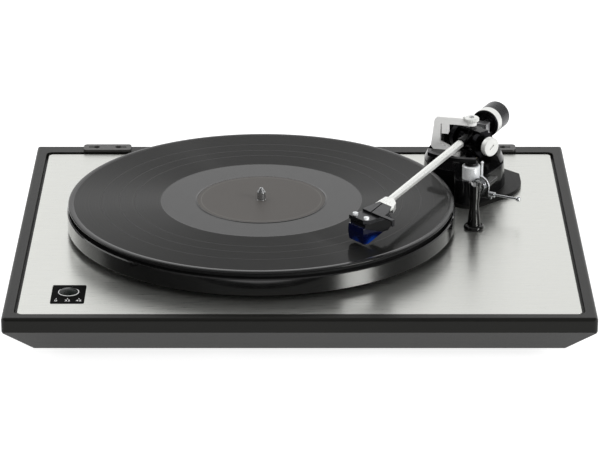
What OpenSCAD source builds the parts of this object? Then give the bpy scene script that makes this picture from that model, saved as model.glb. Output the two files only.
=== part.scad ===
// Belt-driven turntable record player: plinth, platter drive and gimbal tonearm.
// Millimetres. X runs along the front, Y to the back and Z up. The origin lies
// on the surface that the feet stand on, under the middle of the plinth.

/* [Plinth] */
// Width of the plinth
plinth_w = 438; // [430:1:480]
// Depth of the plinth
plinth_d = 368; // [362:1:400]
// Height of the plinth without its feet
plinth_h = 33; // [31:1:50]
// Height and run of the bevel under the plinth's upright band
bevel = 22; // [16:1:24]
// Radius of the plinth's upper edges
edge_r = 2.5; // [1:0.5:3.5]
// Radius of the plinth's upright corners
corner_r = 4; // [2:0.5:8]
// Thickness of wood over the hollow of the plinth
deck_t = 8; // [6:0.5:12]
// Width of wood left round the hollow at the underside
wall_t = 14; // [12:1:24]
// Height of a foot
foot_h = 10; // [8:1:20]
// Radius of a foot
foot_r = 18; // [12:1:24]
// Distance from the plinth's faces to the middle of a foot
foot_inset = 64; // [55:1:80]
// Thickness of a foot's rubber pad
pad_t = 2; // [1:0.5:3]
// Thickness of the cover under the plinth
cover_t = 3; // [2:0.5:5]

/* [Top plate] */
// Width of the plinth's border at the sides
border_side = 8.7; // [7:0.1:14]
// Width of the plinth's border at the front
border_front = 9; // [7:0.1:14]
// Width of the plinth's border at the back
border_back = 15.6; // [15:0.1:24]
// Gap round the plate
plate_gap = 2.3; // [1:0.1:3]
// Thickness of the plate
plate_t = 2; // [1.5:0.1:4]
// Depth of the plate's face below the plinth's top
plate_drop = 1; // [0.5:0.1:2]
// Radius of the plate's corners
plate_r = 5; // [3:0.5:12]

/* [Platter and record] */
// Distance of the spindle to the left of the plinth's middle
spindle_left = 30; // [24:1:36]
// Distance of the spindle behind the plinth's middle
spindle_back = 3; // [-2:1:6]
// Radius of the platter
platter_r = 151.7; // [150:0.1:154]
// Height of the platter
platter_h = 13.5; // [12:0.5:20]
// Gap under the platter
platter_gap = 4; // [3:0.5:8]
// Thickness of the platter over its hollow
platter_web = 7; // [5:0.5:7.5]
// Width of the platter's rim
rim_w = 8; // [6:1:14]
// Radius of the mat
mat_r = 146; // [140:1:148]
// Thickness of the mat
mat_t = 3.5; // [2:0.5:5]
// Radius of a long-playing record
record_r = 150.8; // [150:0.1:151.5]
// Thickness of the record
record_t = 2; // [1.4:0.2:2.4]
// Radius of the record's label
label_r = 50; // [46:1:52]
// Radius of the spindle where the record sits on it
spindle_r = 3.58; // [3.5:0.01:3.65]
// Radius of the spindle's free end, over the record
nose_r = 3.4; // [3.2:0.05:3.45]
// Height of the spindle over the record
spindle_tip = 10; // [6:1:14]
// Radius where the record's grooves end at the run-out
runout_r = 78.8; // [70:0.1:90]
// Depth of the record's face below its label and its edge
face_drop = 0.3; // [0.2:0.05:0.4]

/* [Drive] */
// Radius of the sub-platter that the belt runs on
sub_r = 70; // [60:1:80]
// Thickness of the sub-platter
sub_t = 6; // [5:0.5:6.5]
// Radius of the spindle's shaft in its bearing
shaft_r = 5; // [4:0.5:6]
// Running clearance of the shafts in their bushes
running = 0.04; // [0.02:0.01:0.08]
// Radius of the motor pulley
pulley_r = 11; // [8:0.5:14]
// Distance from the spindle to the motor
motor_dist = 112; // [108:1:118]
// Direction of the motor from the spindle, round from the right
motor_dir = 215; // [200:1:230]
// Radius of the motor
motor_r = 26; // [20:1:30]
// Thickness of the belt
belt_t = 0.8; // [0.6:0.1:1.2]
// Width of the belt
belt_w = 4; // [3:0.5:5]

/* [Tonearm] */
// Distance from the platter's edge to the arm's pivot
pivot_gap = 40.5; // [39:0.1:46]
// Direction of the arm's pivot from the spindle, round from the right
pivot_dir = 28.77; // [27:0.01:31]
// Distance that the stylus can swing past the spindle
overhang = 15.3; // [13:0.1:19]
// Direction of the arm tube, turned from straight ahead towards the record
arm_angle = 25.3; // [22:0.1:28]
// Angle of the headshell to the arm tube
offset_angle = 25.2; // [22:0.1:27]
// Height of the arm tube's middle over the record
tube_rise = 20; // [19:0.5:24]
// Depth of the level bearings' axis below the tube's middle
axis_drop = 4; // [3:0.5:5]
// Width of the arm tube across its flats at the bearing
tube_w = 6.4; // [5.5:0.1:7]
// Width of the arm tube across its flats at the headshell
tube_tip_w = 5.4; // [4.5:0.1:6]
// Length of the headshell from its bend to its front edge
shell_len = 33; // [31:0.5:36]
// Width of the headshell
shell_w = 20; // [18:0.5:24]
// Height of the cartridge, from the stylus tip to its mounting face
cartridge_h = 18; // [17:0.5:19]
// Spacing of the cartridge screws
cartridge_pitch = 12.7; // [12.7:0.1:12.8]
// Radius of the counterweight
weight_r = 11.4; // [10:0.1:12]
// Length of the counterweight
weight_len = 26; // [20:1:30]

/* [Arm base and lift] */
// Half the width of the bearing frame, from the pivot to a cheek's outer face
frame_half = 15; // [14.5:0.5:16]
// Radius of the arm base's drum
drum_r = 33; // [31:0.5:34]
// Radius of the arm base's flange round the pivot
flange_r = 41; // [38:0.5:44]
// Radius of the knurled nut over the yoke
nut_r = 6.1; // [5:0.1:7]
// Radius of the bearing cap's dial
dial_r = 7.7; // [7:0.1:8.5]
// Distance from the pivot to the lift's bar
lift_dist = 45.4; // [44:0.1:48]
// Radius of the lift's collar
collar_r = 7.2; // [6:0.1:8]
// Height of the lift's collar
collar_h = 11; // [8:0.5:11]
// Distance in front of the pivot to the arm rest's post
post_dist = 97; // [94:1:104]
// Radius of the arm rest's foot
post_r = 8; // [7:0.5:9]

/* [Controls] */
// Width of the switch panel
panel_w = 25; // [22:1:30]
// Depth of the switch panel
panel_d = 35; // [34:1:40]
// Radius of the speed knob
knob_r = 6.9; // [5:0.1:7.5]

/* [Hidden] */
$fn = 96;

// Seats: a small gap that keeps neighbouring solids apart, and a drill's overrun
seat = 0.02;
over = 1;

// Levels, from the standing surface upwards
plinth_top = foot_h + plinth_h;
plate_top = plinth_top - plate_drop;
deck_z = plate_top - plate_t;
hollow_top = deck_z - deck_t;
cover_top = foot_h + cover_t;
platter_z = plate_top + platter_gap;
platter_top = platter_z + platter_h;
web_z = platter_top - platter_web;
mat_top = platter_top + mat_t;
record_top = mat_top + record_t;
tube_z = record_top + tube_rise;
axis_z = tube_z - axis_drop;

// The hollow of the plinth, the plate's recess and the plate
hollow_x = plinth_w / 2 - bevel - wall_t;
hollow_y = plinth_d / 2 - bevel - wall_t;
recess_x = plinth_w / 2 - border_side;
recess_front = -plinth_d / 2 + border_front;
recess_back = plinth_d / 2 - border_back;
plate_x = recess_x - plate_gap;
plate_front = recess_front + plate_gap;
plate_back = recess_back - plate_gap;

// Middle of the platter, of the motor and of the tonearm's pivot
spindle_x = -spindle_left;
spindle_y = spindle_back;
motor_x = spindle_x + motor_dist * cos(motor_dir);
motor_y = spindle_y + motor_dist * sin(motor_dir);
pivot_dist = platter_r + pivot_gap;
pivot_x = spindle_x + round(10 * pivot_dist * cos(pivot_dir)) / 10;
pivot_y = spindle_y + round(10 * pivot_dist * sin(pivot_dir)) / 10;

// Drive
motor_hole_r = pulley_r + 2;
motor_shaft_r = 1.5;
flange_sheet = 2;
belt_gap = 0.1;
shaft_bottom = foot_h + cover_t + 9;
ball_r = 2.5;
housing_r = shaft_r + 6;
bush_r = shaft_r + 2;
housing_flange_r = housing_r + 11;
housing_floor = 2.5;
housing_z = shaft_bottom - 2 * ball_r - housing_floor;
housing_top = plate_top + 2.5;
sub_z = web_z - sub_t;
belt_z = sub_z + (sub_t - belt_w) / 2;
bush_h = 8;

// Arm base levels: the flange, the shelf, the cup's rim and the stud
flange_t = 3;
flange_top = plate_top + flange_t;
shelf_z = axis_z - 16;
cup_top = axis_z - 9.2;
stud_r = 7;
nut_t = 6;
pin_r = 3;
bush_wall = 2;
bush_len = 15;

// Bearing frame
frame_t = 9;
cheek_t = 4.2;
cheek_r = 10.2;
boss_len = 4.7;
spigot_r = 3.5;
spigot_len = 2.6;
frame_low = axis_z - 10.8;
frame_high = axis_z + 11;
bar_low_t = 3;
bar_high_t = 2.2;
trunnion_r = 2;

// Yoke: the C-shaped bracket over the bearing frame
yoke_angle = 12.8;
yoke_t = 6;
yoke_low = frame_high + 1.5;
yoke_bar = 5.8;
yoke_high = yoke_low + yoke_bar;
nut_h = 3.2;
nut_seat = yoke_high - 2.4;

// Headshell and cartridge: the stylus lies at stylus_y, behind the headshell's front edge
shell_shift = 9.2;
mount_face = record_top + cartridge_h;
mount_plate_t = 3;
shell_plate_t = 1.6;
step_y = 13.5;
shell_low = mount_face + mount_plate_t;
shell_top = shell_low + shell_plate_t;
stylus_gap = 0.3;
stylus_y = 2.6;
screw_y = 3.4;

// Distance from the pivot to the bend at the headshell, for the arm's effective length
reach_side = (shell_len - stylus_y) * sin(offset_angle) - shell_shift * cos(offset_angle);
reach_ahead = (shell_len - stylus_y) * cos(offset_angle) + shell_shift * sin(offset_angle);
bend_dist = sqrt(pow(pivot_dist + overhang, 2) - pow(reach_side, 2)) - reach_ahead;

// Arm rest, lift and lever
post_angle = 1.2;
post_stud_r = 2;
post_top = tube_z - tube_w / 2 - 0.5;
lift_angle = 2.5;
lift_bar_w = 4;
lift_bar_h = 3;
lift_bar_top = tube_z - tube_w / 2 - 0.4;
piston_r = 3;
cam_angle = 27;
cam_r = 6.2;
cam_len = 4;
cam_shaft_r = 1.4;
cam_shaft_len = 8;
cam_z = axis_z - 18.2;
cam_x = pivot_x + 6;
cam_y = pivot_y - 53.5;
lever_z = -5;

// Controls
panel_x = -plinth_w / 2 + 46.5;
panel_y = -plinth_d / 2 + 48.7;
panel_t = 2.3;
panel_top = deck_z + panel_t;
knob_y = panel_y + 3.7;
knob_h = 2.4;
stem_r = 3;

// Sockets at the back
bay_w = 84;
bay_x = hollow_x - 11 - bay_w / 2;
bay_low = foot_h + 4;
bay_high = hollow_top - 2;
socket_z = (bay_low + bay_high) / 2;

// ---------------------------------------------------------------- helpers

// A point at a distance and an angle from the middle, and a row of points round a centre
function polar(r, angle) = [r * cos(angle), r * sin(angle)];
function arc(cx, r, from, to, n) = [for (i = [0:n]) [cx, 0] + polar(r, from + (to - from) * i / n)];

// A plate's outline with round corners
module rounded_rect(w, d, r) {
    square([w - 2 * r, d], center = true);
    square([w, d - 2 * r], center = true);
    for (sx = [-1, 1], sy = [-1, 1])
        translate([sx * (w / 2 - r), sy * (d / 2 - r)]) circle(r);
}

// A circle at a distance along X, with its tangents to a circle of radius r0 that stands in the
// middle and is drawn apart; the corners lie a little way inside both circles
module round_arm(r0, r1, distance) {
    lean = asin((r0 - r1) / distance);
    out0 = polar(r0 - seat, 90 - lean);
    out1 = polar(r1 - seat, 90 - lean);
    translate([distance, 0]) circle(r1);
    polygon([
        out0, [distance + out1[0], out1[1]], [distance + out1[0], -out1[1]], [out0[0], -out0[1]]
    ]);
}

// Two circles joined by their tangents: one in the middle, one at a distance along X
module round_pair(r0, r1, distance) {
    circle(r0);
    round_arm(r0, r1, distance);
}

// A slice from one angle to another, which reaches past a radius
module wedge(from, to, radius) {
    far = 1.5 * radius;
    polygon([[0, 0], polar(far, from), polar(far, (from + to) / 2), polar(far, to)]);
}

// A block from one height to another over an outline
module slab(from, to) {
    translate([0, 0, from]) linear_extrude(to - from) children();
}

// A ring between two radii
module ring(r_out, r_in, from, to) {
    difference() {
        translate([0, 0, from]) cylinder(r = r_out, h = to - from);
        translate([0, 0, from - over]) cylinder(r = r_in, h = to - from + 2 * over);
    }
}

// A round hole from one height to another
module hole(r, from, to) {
    translate([0, 0, from]) cylinder(r = r, h = to - from);
}

// A round block between two heights, with a radius for each
module cone(from, to, r_from, r_to, n = $fn) {
    translate([0, 0, from]) cylinder(r1 = r_from, r2 = r_to, h = to - from, $fn = n);
}

// Places turned and set at the spindle, the motor, the pivot and the headshell
module at_spindle() translate([spindle_x, spindle_y, 0]) children();
module at_motor() translate([motor_x, motor_y, 0]) children();
module at_pivot(angle = 0) translate([pivot_x, pivot_y, 0]) rotate([0, 0, -angle]) children();
module at_tube() at_pivot(arm_angle) children();
module at_bearing() at_pivot(arm_angle + offset_angle) children();
module at_shell() at_tube() translate([0, -bend_dist, 0]) rotate([0, 0, -offset_angle])
    translate([shell_shift, -shell_len, 0]) children();
module at_lift() at_pivot(lift_angle) translate([0, -lift_dist, 0]) children();
module at_cam() translate([cam_x, cam_y, cam_z]) rotate([0, 0, -cam_angle]) children();
module at_panel() translate([panel_x, panel_y, 0]) children();

// Places along the arm's axes, with Z pointing to the headshell, to the tail, out of the
// bearing's right side and into the lift's housing
module along_tube(from = 0) at_tube() translate([0, -from, tube_z]) rotate([90, 0, 0]) children();
module along_tail(from = 0) at_tube() translate([0, from, tube_z]) rotate([-90, 0, 0]) children();
module along_bearing(from = 0) at_bearing() translate([from, 0, axis_z]) rotate([0, 90, 0]) children();
module along_cam(from = 0) at_cam() translate([0, from, 0]) rotate([-90, 0, 0]) children();
module at_cartridge_screws() at_shell() for (s = [-1, 1])
    translate([s * cartridge_pitch / 2, screw_y, 0]) children();
module at_foot(sx, sy)
    translate([sx * (plinth_w / 2 - foot_inset), sy * (plinth_d / 2 - foot_inset), 0]) children();
module at_feet() for (sx = [-1, 1], sy = [-1, 1]) at_foot(sx, sy) children();

// A screw with a round head that stands on the height head_z and points down
module screw(r, head_r, head_h, head_z, length) {
    translate([0, 0, head_z]) cylinder(r = head_r, h = head_h);
    translate([0, 0, head_z - length]) cylinder(r = r, h = length + seat);
}

// ---------------------------------------------------------------- plinth

// Section of the plinth across half its width: bevel, upright band, round top edge
module plinth_section(half) {
    band = plinth_top - edge_r;
    polygon([
        [-half + bevel, foot_h], [half - bevel, foot_h], [half, foot_h + bevel], [half, band],
        [half - edge_r, plinth_top], [-half + edge_r, plinth_top], [-half, band], [-half, foot_h + bevel]
    ]);
    for (s = [-1, 1]) translate([s * (half - edge_r), band]) circle(edge_r);
}

module plinth_block() {
    intersection() {
        rotate([90, 0, 0]) linear_extrude(plinth_d + 2, center = true) plinth_section(plinth_w / 2);
        rotate([90, 0, 90]) linear_extrude(plinth_w + 2, center = true) plinth_section(plinth_d / 2);
        slab(foot_h - over, plinth_top + over) rounded_rect(plinth_w, plinth_d, corner_r);
    }
}

// Outline between a low corner and a high corner
module area(x0, y0, x1, y1, r) {
    translate([(x0 + x1) / 2, (y0 + y1) / 2]) rounded_rect(x1 - x0, y1 - y0, r);
}

cover_screw_n = 4;
cover_x = hollow_x + 6;
cover_y = hollow_y + 6;

module plinth_body() {
    color([0.17, 0.17, 0.17]) difference() {
        plinth_block();
        slab(deck_z, plinth_top + over) area(-recess_x, recess_front, recess_x, recess_back, plate_r);
        slab(foot_h - over, cover_top) area(-cover_x, -cover_y, cover_x, cover_y, 6);
        slab(cover_top - over, hollow_top) area(-hollow_x, -hollow_y, hollow_x, hollow_y, 6);
        translate([bay_x - bay_w / 2, hollow_y - over, bay_low])
            cube([bay_w, plinth_d, bay_high - bay_low]);
        at_spindle() hole(housing_r + 0.3, hollow_top - over, deck_z + over);
        at_motor() hole(motor_hole_r, hollow_top - over, deck_z + over);
        at_pivot() hole(stud_r + 0.3, hollow_top - over, deck_z + over);
        at_panel() translate([0, knob_y - panel_y, 0]) hole(8, hollow_top - over, deck_z + over);
        at_post() hole(post_stud_r + 0.1, deck_z - 6, deck_z + over);
        for (side = [-1, 1]) at_hinge(side) hinge_keyholes(plinth_top - 6);
        cover_screw_places() hole(1.6, cover_top - over, cover_top + 10);
    }
}

module top_plate() {
    color([0.8, 0.81, 0.81]) difference() {
        slab(deck_z, plate_top) area(-plate_x, plate_front, plate_x, plate_back, plate_r - 1);
        at_spindle() hole(housing_r + 0.3, deck_z - over, plate_top + over);
        at_motor() hole(motor_hole_r, deck_z - over, plate_top + over);
        at_pivot() hole(stud_r + 0.3, deck_z - over, plate_top + over);
        at_panel() slab(deck_z - over, plate_top + over) rounded_rect(panel_w + 0.3, panel_d + 0.3, 1.5);
        at_post() hole(post_stud_r + 0.1, deck_z - over, plate_top + over);
    }
}

// Places of the screws round the bottom cover
module cover_screw_places() {
    for (i = [0:cover_screw_n - 1], s = [-1, 1]) {
        x = -cover_x + 10 + i * (2 * cover_x - 20) / (cover_screw_n - 1);
        translate([x, s * (hollow_y + 3), 0]) children();
    }
}

module bottom_cover() {
    color([0.1, 0.1, 0.1]) difference() {
        slab(foot_h, cover_top - seat)
            area(-cover_x + 0.3, -cover_y + 0.3, cover_x - 0.3, cover_y - 0.3, 5.7);
        at_feet() hole(2.1, foot_h - over, cover_top + over);
        cover_screw_places() hole(1.7, foot_h - over, cover_top + over);
        cover_screw_places() hole(3.2, foot_h - over, foot_h + 1.5);
        for (i = [-6:6]) at_motor() translate([i * 5, 0, 0]) slab(foot_h - over, cover_top + over)
            rounded_rect(2, 22, 0.9);
    }
}

module cover_screws() {
    color([0.7, 0.7, 0.7]) cover_screw_places() translate([0, 0, foot_h + 1.5])
        rotate([180, 0, 0]) screw(1.5, 3, 1.3, 0, 9);
}

module foot(sx, sy) {
    color([0.13, 0.13, 0.13]) at_foot(sx, sy) {
        rotate_extrude() polygon([
            [0, pad_t], [foot_r - 2, pad_t], [foot_r, pad_t + 2],
            [foot_r, foot_h - 1], [foot_r - 1, foot_h - seat], [0, foot_h - seat]
        ]);
        hole(2, foot_h - 0.5, cover_top + 4);
    }
}

module foot_pads() {
    color([0.05, 0.05, 0.05]) at_feet() ring(foot_r - 2.5, 4, 0, pad_t - seat);
}

// ---------------------------------------------------------------- lid hinge plates

hinge_w = 39.5;
hinge_d = 13.6;
hinge_t = 1.8;
hinge_inset = 58.8;

// The right-hand plate is the left-hand plate's mirror image
module at_hinge(side) {
    translate([side * (plinth_w / 2 - hinge_inset), plinth_d / 2 - border_back / 2, 0])
        mirror([side > 0 ? 1 : 0, 0, 0]) children();
}

// Two round holes, each with a slot that runs outwards from it
module hinge_keyholes(from) {
    for (s = [-1, 1]) translate([s * 9, 0, 0]) {
        hole(2.6, from, plinth_top + hinge_t + over);
        translate([s > 0 ? 0 : -6.5, -1.1, from]) cube([6.5, 2.2, plinth_top + hinge_t + over - from]);
    }
}

module lid_hinge(side) {
    color([0.25, 0.25, 0.25]) at_hinge(side) difference() {
        slab(plinth_top, plinth_top + hinge_t) rounded_rect(hinge_w, hinge_d, 3);
        hinge_keyholes(plinth_top - over);
    }
}

// ---------------------------------------------------------------- controls

module switch_panel() {
    color([0.03, 0.03, 0.03]) at_panel() difference() {
        slab(deck_z, panel_top) rounded_rect(panel_w, panel_d, 1.2);
        translate([0, knob_y - panel_y, 0]) hole(stem_r + running, deck_z - over, panel_top + over);
    }
}

module switch_ring() {
    color([0.9, 0.9, 0.9]) translate([panel_x, knob_y, 0])
        ring(knob_r + 1, knob_r + 0.25, panel_top, panel_top + 0.3);
}

// A low domed cap, whose dome rises by dome_h
module speed_knob() {
    dome_h = 1.6;
    dome_r = (knob_r * knob_r + dome_h * dome_h) / (2 * dome_h);
    color([0.1, 0.11, 0.1]) translate([panel_x, knob_y, panel_top + 0.1]) difference() {
        union() {
            intersection() {
                hole(knob_r, 0, knob_h + over);
                translate([0, 0, knob_h - dome_r]) sphere(dome_r);
            }
            hole(stem_r, stem_low - panel_top - 0.1, seat);
        }
        rotate([0, 0, -28]) translate([0, -knob_r + 1.2, 0.9]) cylinder(r = 0.5, h = knob_h);
    }
}

// ---------------------------------------------------------------- drive

module motor_body() {
    color([0.6, 0.6, 0.58]) at_motor() {
        rotate_extrude() polygon([
            [motor_shaft_r + running, cover_top + 1.5], [motor_r - 1.5, cover_top + 1.5],
            [motor_r, cover_top + 3],
            [motor_r, hollow_top - flange_sheet], [motor_shaft_r + running, hollow_top - flange_sheet]
        ]);
    }
}

module motor_screw_places() {
    for (a = [0, 120, 240]) at_motor() rotate([0, 0, a]) translate([motor_r + 5, 0, 0]) children();
}

module motor_flange() {
    color([0.75, 0.75, 0.72]) difference() {
        at_motor() hole(motor_r + 9, hollow_top - flange_sheet + seat, hollow_top);
        at_motor() hole(5, hollow_top - 3, hollow_top + over);
        motor_screw_places() hole(1.7, hollow_top - 3, hollow_top + over);
    }
}

module motor_screws() {
    color([0.7, 0.7, 0.7]) motor_screw_places() translate([0, 0, hollow_top - flange_sheet])
        rotate([180, 0, 0]) screw(1.5, 2.8, 1.8, 0, flange_sheet - 0.1);
}

module motor_pulley() {
    top = sub_z + sub_t - 0.1;
    low = sub_z - 0.4;
    rim = pulley_r + 1.2;
    color([0.75, 0.75, 0.75]) at_motor() {
        hole(motor_shaft_r, cover_top + 3, sub_z + 1);
        rotate_extrude() polygon([
            [0, low], [rim, low], [rim, low + 0.8], [pulley_r, belt_z - 0.1],
            [pulley_r, belt_z + belt_w + 0.1], [rim, top - 0.3], [rim, top], [0, top]
        ]);
    }
}

// Points of a loop round the sub-platter and the pulley, a given distance from them
function belt_loop(grow) =
    let (meet = 90 - asin((sub_r - pulley_r) / motor_dist))
    concat(arc(0, sub_r + grow, meet, 360 - meet, 48), arc(motor_dist, pulley_r + grow, -meet, meet, 18));

module drive_belt() {
    color([0.08, 0.08, 0.08]) at_spindle() rotate([0, 0, motor_dir]) slab(belt_z, belt_z + belt_w)
        difference() {
            polygon(belt_loop(belt_gap + belt_t));
            polygon(belt_loop(belt_gap));
        }
}

module bearing_housing() {
    color([0.72, 0.58, 0.32]) at_spindle() difference() {
        union() {
            hole(housing_r, housing_z, plate_top + seat);
            hole(housing_flange_r, plate_top + seat, housing_top);
        }
        hole(bush_r + seat, shaft_bottom - seat, housing_top + over);
        hole(ball_r + 0.1, shaft_bottom - 2 * ball_r, shaft_bottom + over);
        for (a = [30, 150, 270]) rotate([0, 0, a]) translate([housing_flange_r - 5, 0, 0])
            hole(1.6, plate_top - over, housing_top + over);
    }
}

module bearing_bushes() {
    color([0.75, 0.55, 0.3]) at_spindle() {
        ring(bush_r, shaft_r + running, shaft_bottom, shaft_bottom + bush_h);
        ring(bush_r, shaft_r + running, housing_top - bush_h, housing_top);
    }
}

module thrust_ball() {
    color([0.9, 0.9, 0.9]) at_spindle()
        translate([0, 0, shaft_bottom - ball_r - seat]) sphere(ball_r - seat);
}

module spindle_shaft() {
    color([0.85, 0.85, 0.86]) at_spindle() rotate_extrude() polygon([
        [0, shaft_bottom], [shaft_r - 0.6, shaft_bottom], [shaft_r, shaft_bottom + 0.6],
        [shaft_r, sub_z + sub_t / 2], [spindle_r, sub_z + sub_t / 2], [spindle_r, record_top],
        [nose_r, record_top], [nose_r, record_top + spindle_tip - 4],
        [1.2, record_top + spindle_tip - 0.6], [0, record_top + spindle_tip]
    ]);
}

module sub_platter() {
    color([0.15, 0.15, 0.15]) at_spindle() difference() {
        hole(sub_r, sub_z, web_z);
        for (a = [0:60:300])
            rotate([0, 0, a]) translate([sub_r * 0.58, 0, 0]) hole(14, sub_z - over, web_z + over);
        hole(shaft_r + seat, sub_z - over, sub_z + sub_t / 2);
        hole(spindle_r + seat, sub_z, web_z + over);
    }
}

module platter() {
    color([0.05, 0.05, 0.05]) at_spindle() difference() {
        rotate_extrude() polygon([
            [0, web_z], [platter_r - rim_w, web_z], [platter_r - rim_w, platter_z],
            [platter_r - 0.8, platter_z], [platter_r, platter_z + 0.8],
            [platter_r, platter_top - 0.8], [platter_r - 0.8, platter_top], [0, platter_top]
        ]);
        hole(spindle_r + 0.05, web_z - over, platter_top + over);
    }
}

module platter_mat() {
    color([0.07, 0.07, 0.07]) at_spindle() ring(mat_r, spindle_r + 0.3, platter_top, mat_top);
}

label_t = 0.2;

// Height of the record's upper face over its middle plane: label, run-out, grooves, edge bead
function record_half() = [
    [spindle_r + 0.06, record_t / 2], [label_r + 0.8, record_t / 2],
    [label_r + 1.6, record_t / 2 - face_drop], [runout_r - 1, record_t / 2 - face_drop],
    [runout_r, record_t / 2 - face_drop + 0.05], [record_r - 4.4, record_t / 2 - face_drop + 0.05],
    [record_r - 2.4, record_t / 2 - 0.02], [record_r - 0.7, record_t / 2 - 0.08], [record_r, 0.35]
];

module record_disc() {
    upper = record_half();
    count = len(upper);
    lower = [for (i = [1:count]) [upper[count - i][0], -upper[count - i][1]]];
    color([0.1, 0.1, 0.1]) at_spindle() difference() {
        translate([0, 0, mat_top + record_t / 2]) rotate_extrude() polygon(concat(upper, lower));
        hole(label_r + 0.2, record_top - label_t, record_top + over);
    }
}

module record_label() {
    color([0.3, 0.29, 0.28]) at_spindle() ring(label_r, spindle_r + 0.06, record_top - label_t, record_top);
}

// ---------------------------------------------------------------- electronics and sockets

board_x = -hollow_x + 30;
board_y = -hollow_y + 22;
switch_top = hollow_top + 2;
stem_low = hollow_top - 1;

// The board under the panel, with the rotary switch that the knob's stem turns
module control_board() {
    color([0.1, 0.35, 0.2]) {
        difference() {
            union() {
                translate([board_x, board_y, 0])
                    slab(hollow_top - 6, hollow_top - 4.4) rounded_rect(56, 40, 2);
                translate([panel_x, knob_y, 0])
                    slab(hollow_top - 4.5, switch_top) square(10, center = true);
            }
            translate([panel_x, knob_y, 0]) hole(stem_r + running, stem_low - 0.5, switch_top + over);
        }
        translate([board_x, board_y, 0]) {
            for (sx = [-1, 1], sy = [-1, 1])
                translate([sx * 24, sy * 16, 0]) hole(2.5, hollow_top - 4.5, hollow_top);
            for (x = [-12, 4]) translate([x - 4, -14, hollow_top - 8]) cube([9, 7, 2.1]);
            translate([8, 4, hollow_top - 13]) cube([14, 10, 7.1]);
        }
    }
}

module connector_plate() {
    color([0.08, 0.08, 0.08]) difference() {
        translate([bay_x - bay_w / 2 - 3, hollow_y - 1.5 - seat, cover_top + 0.5])
            cube([bay_w + 6, 1.5, hollow_top - cover_top - 0.5 - seat]);
        socket_places([-30, -14]) cylinder(r = 5.2, h = 20, center = true);
        socket_places([4]) cylinder(r = 2.1, h = 20, center = true);
        socket_places([28]) cylinder(r = 4.7, h = 20, center = true);
    }
}

// Places along the connector plate, with Z pointing out of the back
module socket_places(list) {
    for (x = list) translate([bay_x + x, hollow_y - 0.75, socket_z]) rotate([-90, 0, 0]) children();
}

module phono_sockets() {
    color([0.85, 0.75, 0.4]) socket_places([-30, -14]) difference() {
        union() {
            translate([0, 0, 0.85]) cylinder(r = 6, h = 1.4);
            translate([0, 0, -6]) cylinder(r = 5, h = 7);
            translate([0, 0, 2]) cylinder(r = 4.15, h = 8);
        }
        translate([0, 0, 1]) cylinder(r = 1.6, h = 20);
        translate([0, 0, 2.5]) difference() {
            cylinder(r = 3.6, h = 20);
            cylinder(r = 2.4, h = 20);
        }
    }
}

module ground_post() {
    color([0.8, 0.7, 0.35]) socket_places([4]) {
        translate([0, 0, -6]) cylinder(r = 2, h = 16);
        translate([0, 0, 0.8]) cylinder(r = 4.5, h = 1.2);
        translate([0, 0, 3.5]) difference() {
            cylinder(r = 4.2, h = 5);
            for (a = [0:30:330])
                rotate([0, 0, a]) translate([4.5, 0, -over]) cylinder(r = 0.6, h = 8, $fn = 16);
        }
    }
}

module power_inlet() {
    color([0.06, 0.06, 0.06]) socket_places([28]) difference() {
        union() {
            translate([0, 0, 0.85]) cylinder(r = 6, h = 2);
            translate([0, 0, -9]) cylinder(r = 4.5, h = 10);
        }
        translate([0, 0, -7]) difference() {
            cylinder(r = 2.9, h = 20);
            cylinder(r = 1.05, h = 20);
        }
    }
}

// ---------------------------------------------------------------- arm base

lobe_at = [-4.5, -43];
lobe_r = 11.5;
drum_left = 5.5;
drum_top = shelf_z - seat;
groove_top = shelf_z + 0.9;
cup_r = 20.5;
guard_r = 27.9;
guard_t = 3;
guard_top = axis_z + 7.5;
flange_corner = 44.1;
flange_corner_r = 1.5;
corner_dir = 23.2;

// A part of the flange that reaches out of its round middle in one direction
module flange_arm(angle, r, distance) {
    slab(plate_top, flange_top) rotate(angle) round_arm(flange_r, r, distance);
}

// A round plate with one corner, and with a tongue under the lobe
module arm_base_flange() {
    color([0.24, 0.24, 0.24]) at_pivot() difference() {
        union() {
            hole(flange_r, plate_top, flange_top);
            flange_arm(corner_dir, flange_corner_r, flange_corner - flange_corner_r);
            flange_arm(atan2(lobe_at[1], lobe_at[0]), lobe_r + 0.5, norm(lobe_at));
        }
        hole(stud_r + 0.2, plate_top - over, flange_top + over);
    }
}

// The cup on the drum, open in front and slotted for the yoke, with a guard that rises behind it
module arm_cup() {
    slot_w = yoke_t + 1.2;
    difference() {
        translate([-drum_left, 0, 0]) {
            cone(shelf_z - over, groove_top, drum_r - 2.6, drum_r - 2.6);
            cone(groove_top - seat, cup_top, drum_r - 1, drum_r - 3.5);
        }
        hole(cup_r, shelf_z - over, cup_top + over);
        translate([-60, -60, shelf_z - over]) cube([120, 46, 20]);
        rotate([0, 0, -yoke_angle]) translate([-50, -slot_w / 2, shelf_z - over]) cube([44, slot_w, 20]);
    }
    intersection() {
        ring(guard_r, guard_r - guard_t, shelf_z + 1, guard_top);
        slab(shelf_z, guard_top + over) wedge(117, 157, guard_r);
    }
}

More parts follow.
